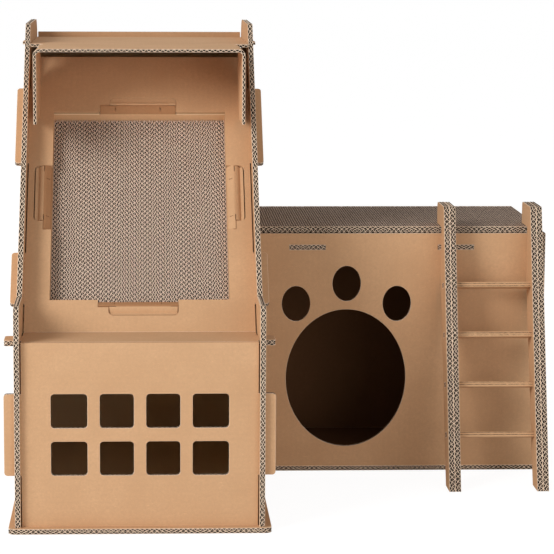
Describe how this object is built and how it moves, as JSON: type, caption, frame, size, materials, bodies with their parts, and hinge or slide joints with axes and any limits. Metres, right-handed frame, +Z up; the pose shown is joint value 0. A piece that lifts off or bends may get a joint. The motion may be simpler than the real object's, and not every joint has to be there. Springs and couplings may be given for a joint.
{
  "type": "cardboard cat castle",
  "caption": "Cardboard cat castle: a tower with windows, a sloped scratching lounge and a hood, beside a low house with a paw-shaped door, a scratch pad roof and a ladder.",
  "frame": {"origin": "middle of the underside of the tower's base", "axes": "+Z up, -Y the front with the windows, +X towards the house and the ladder"},
  "size_m": [0.69, 0.565, 0.585],
  "materials": {
    "kraft_board": "matt brown kraft corrugated board",
    "kraft_card": "matt brown kraft card, folded",
    "scratch_pad": "open ends of glued corrugated strips"
  },
  "bodies": {
    "root": {"tower_base": "kraft_board", "tower_left_wall": "kraft_board", "tower_right_wall": "kraft_board", "tower_back_panel": "kraft_board", "window_panel": "kraft_board", "ledge_board": "kraft_board", "lounge_panel": "kraft_board", "house_base": "kraft_board", "paw_front_panel": "kraft_board", "house_back_panel": "kraft_board", "house_right_wall": "kraft_board", "house_shelf": "kraft_board", "left_rail_outer_ply": "kraft_board", "left_rail_inner_ply": "kraft_board", "right_rail_inner_ply": "kraft_board", "right_rail_outer_ply": "kraft_board", "ladder_rung_1": "kraft_board", "ladder_rung_2": "kraft_board", "ladder_rung_3": "kraft_board", "ladder_rung_4": "kraft_board", "roof_canopy": "kraft_board", "lounge_tray": "kraft_card", "lounge_scratch_pad": "scratch_pad", "house_scratch_pad": "scratch_pad"}
  },
  "joints": []
}
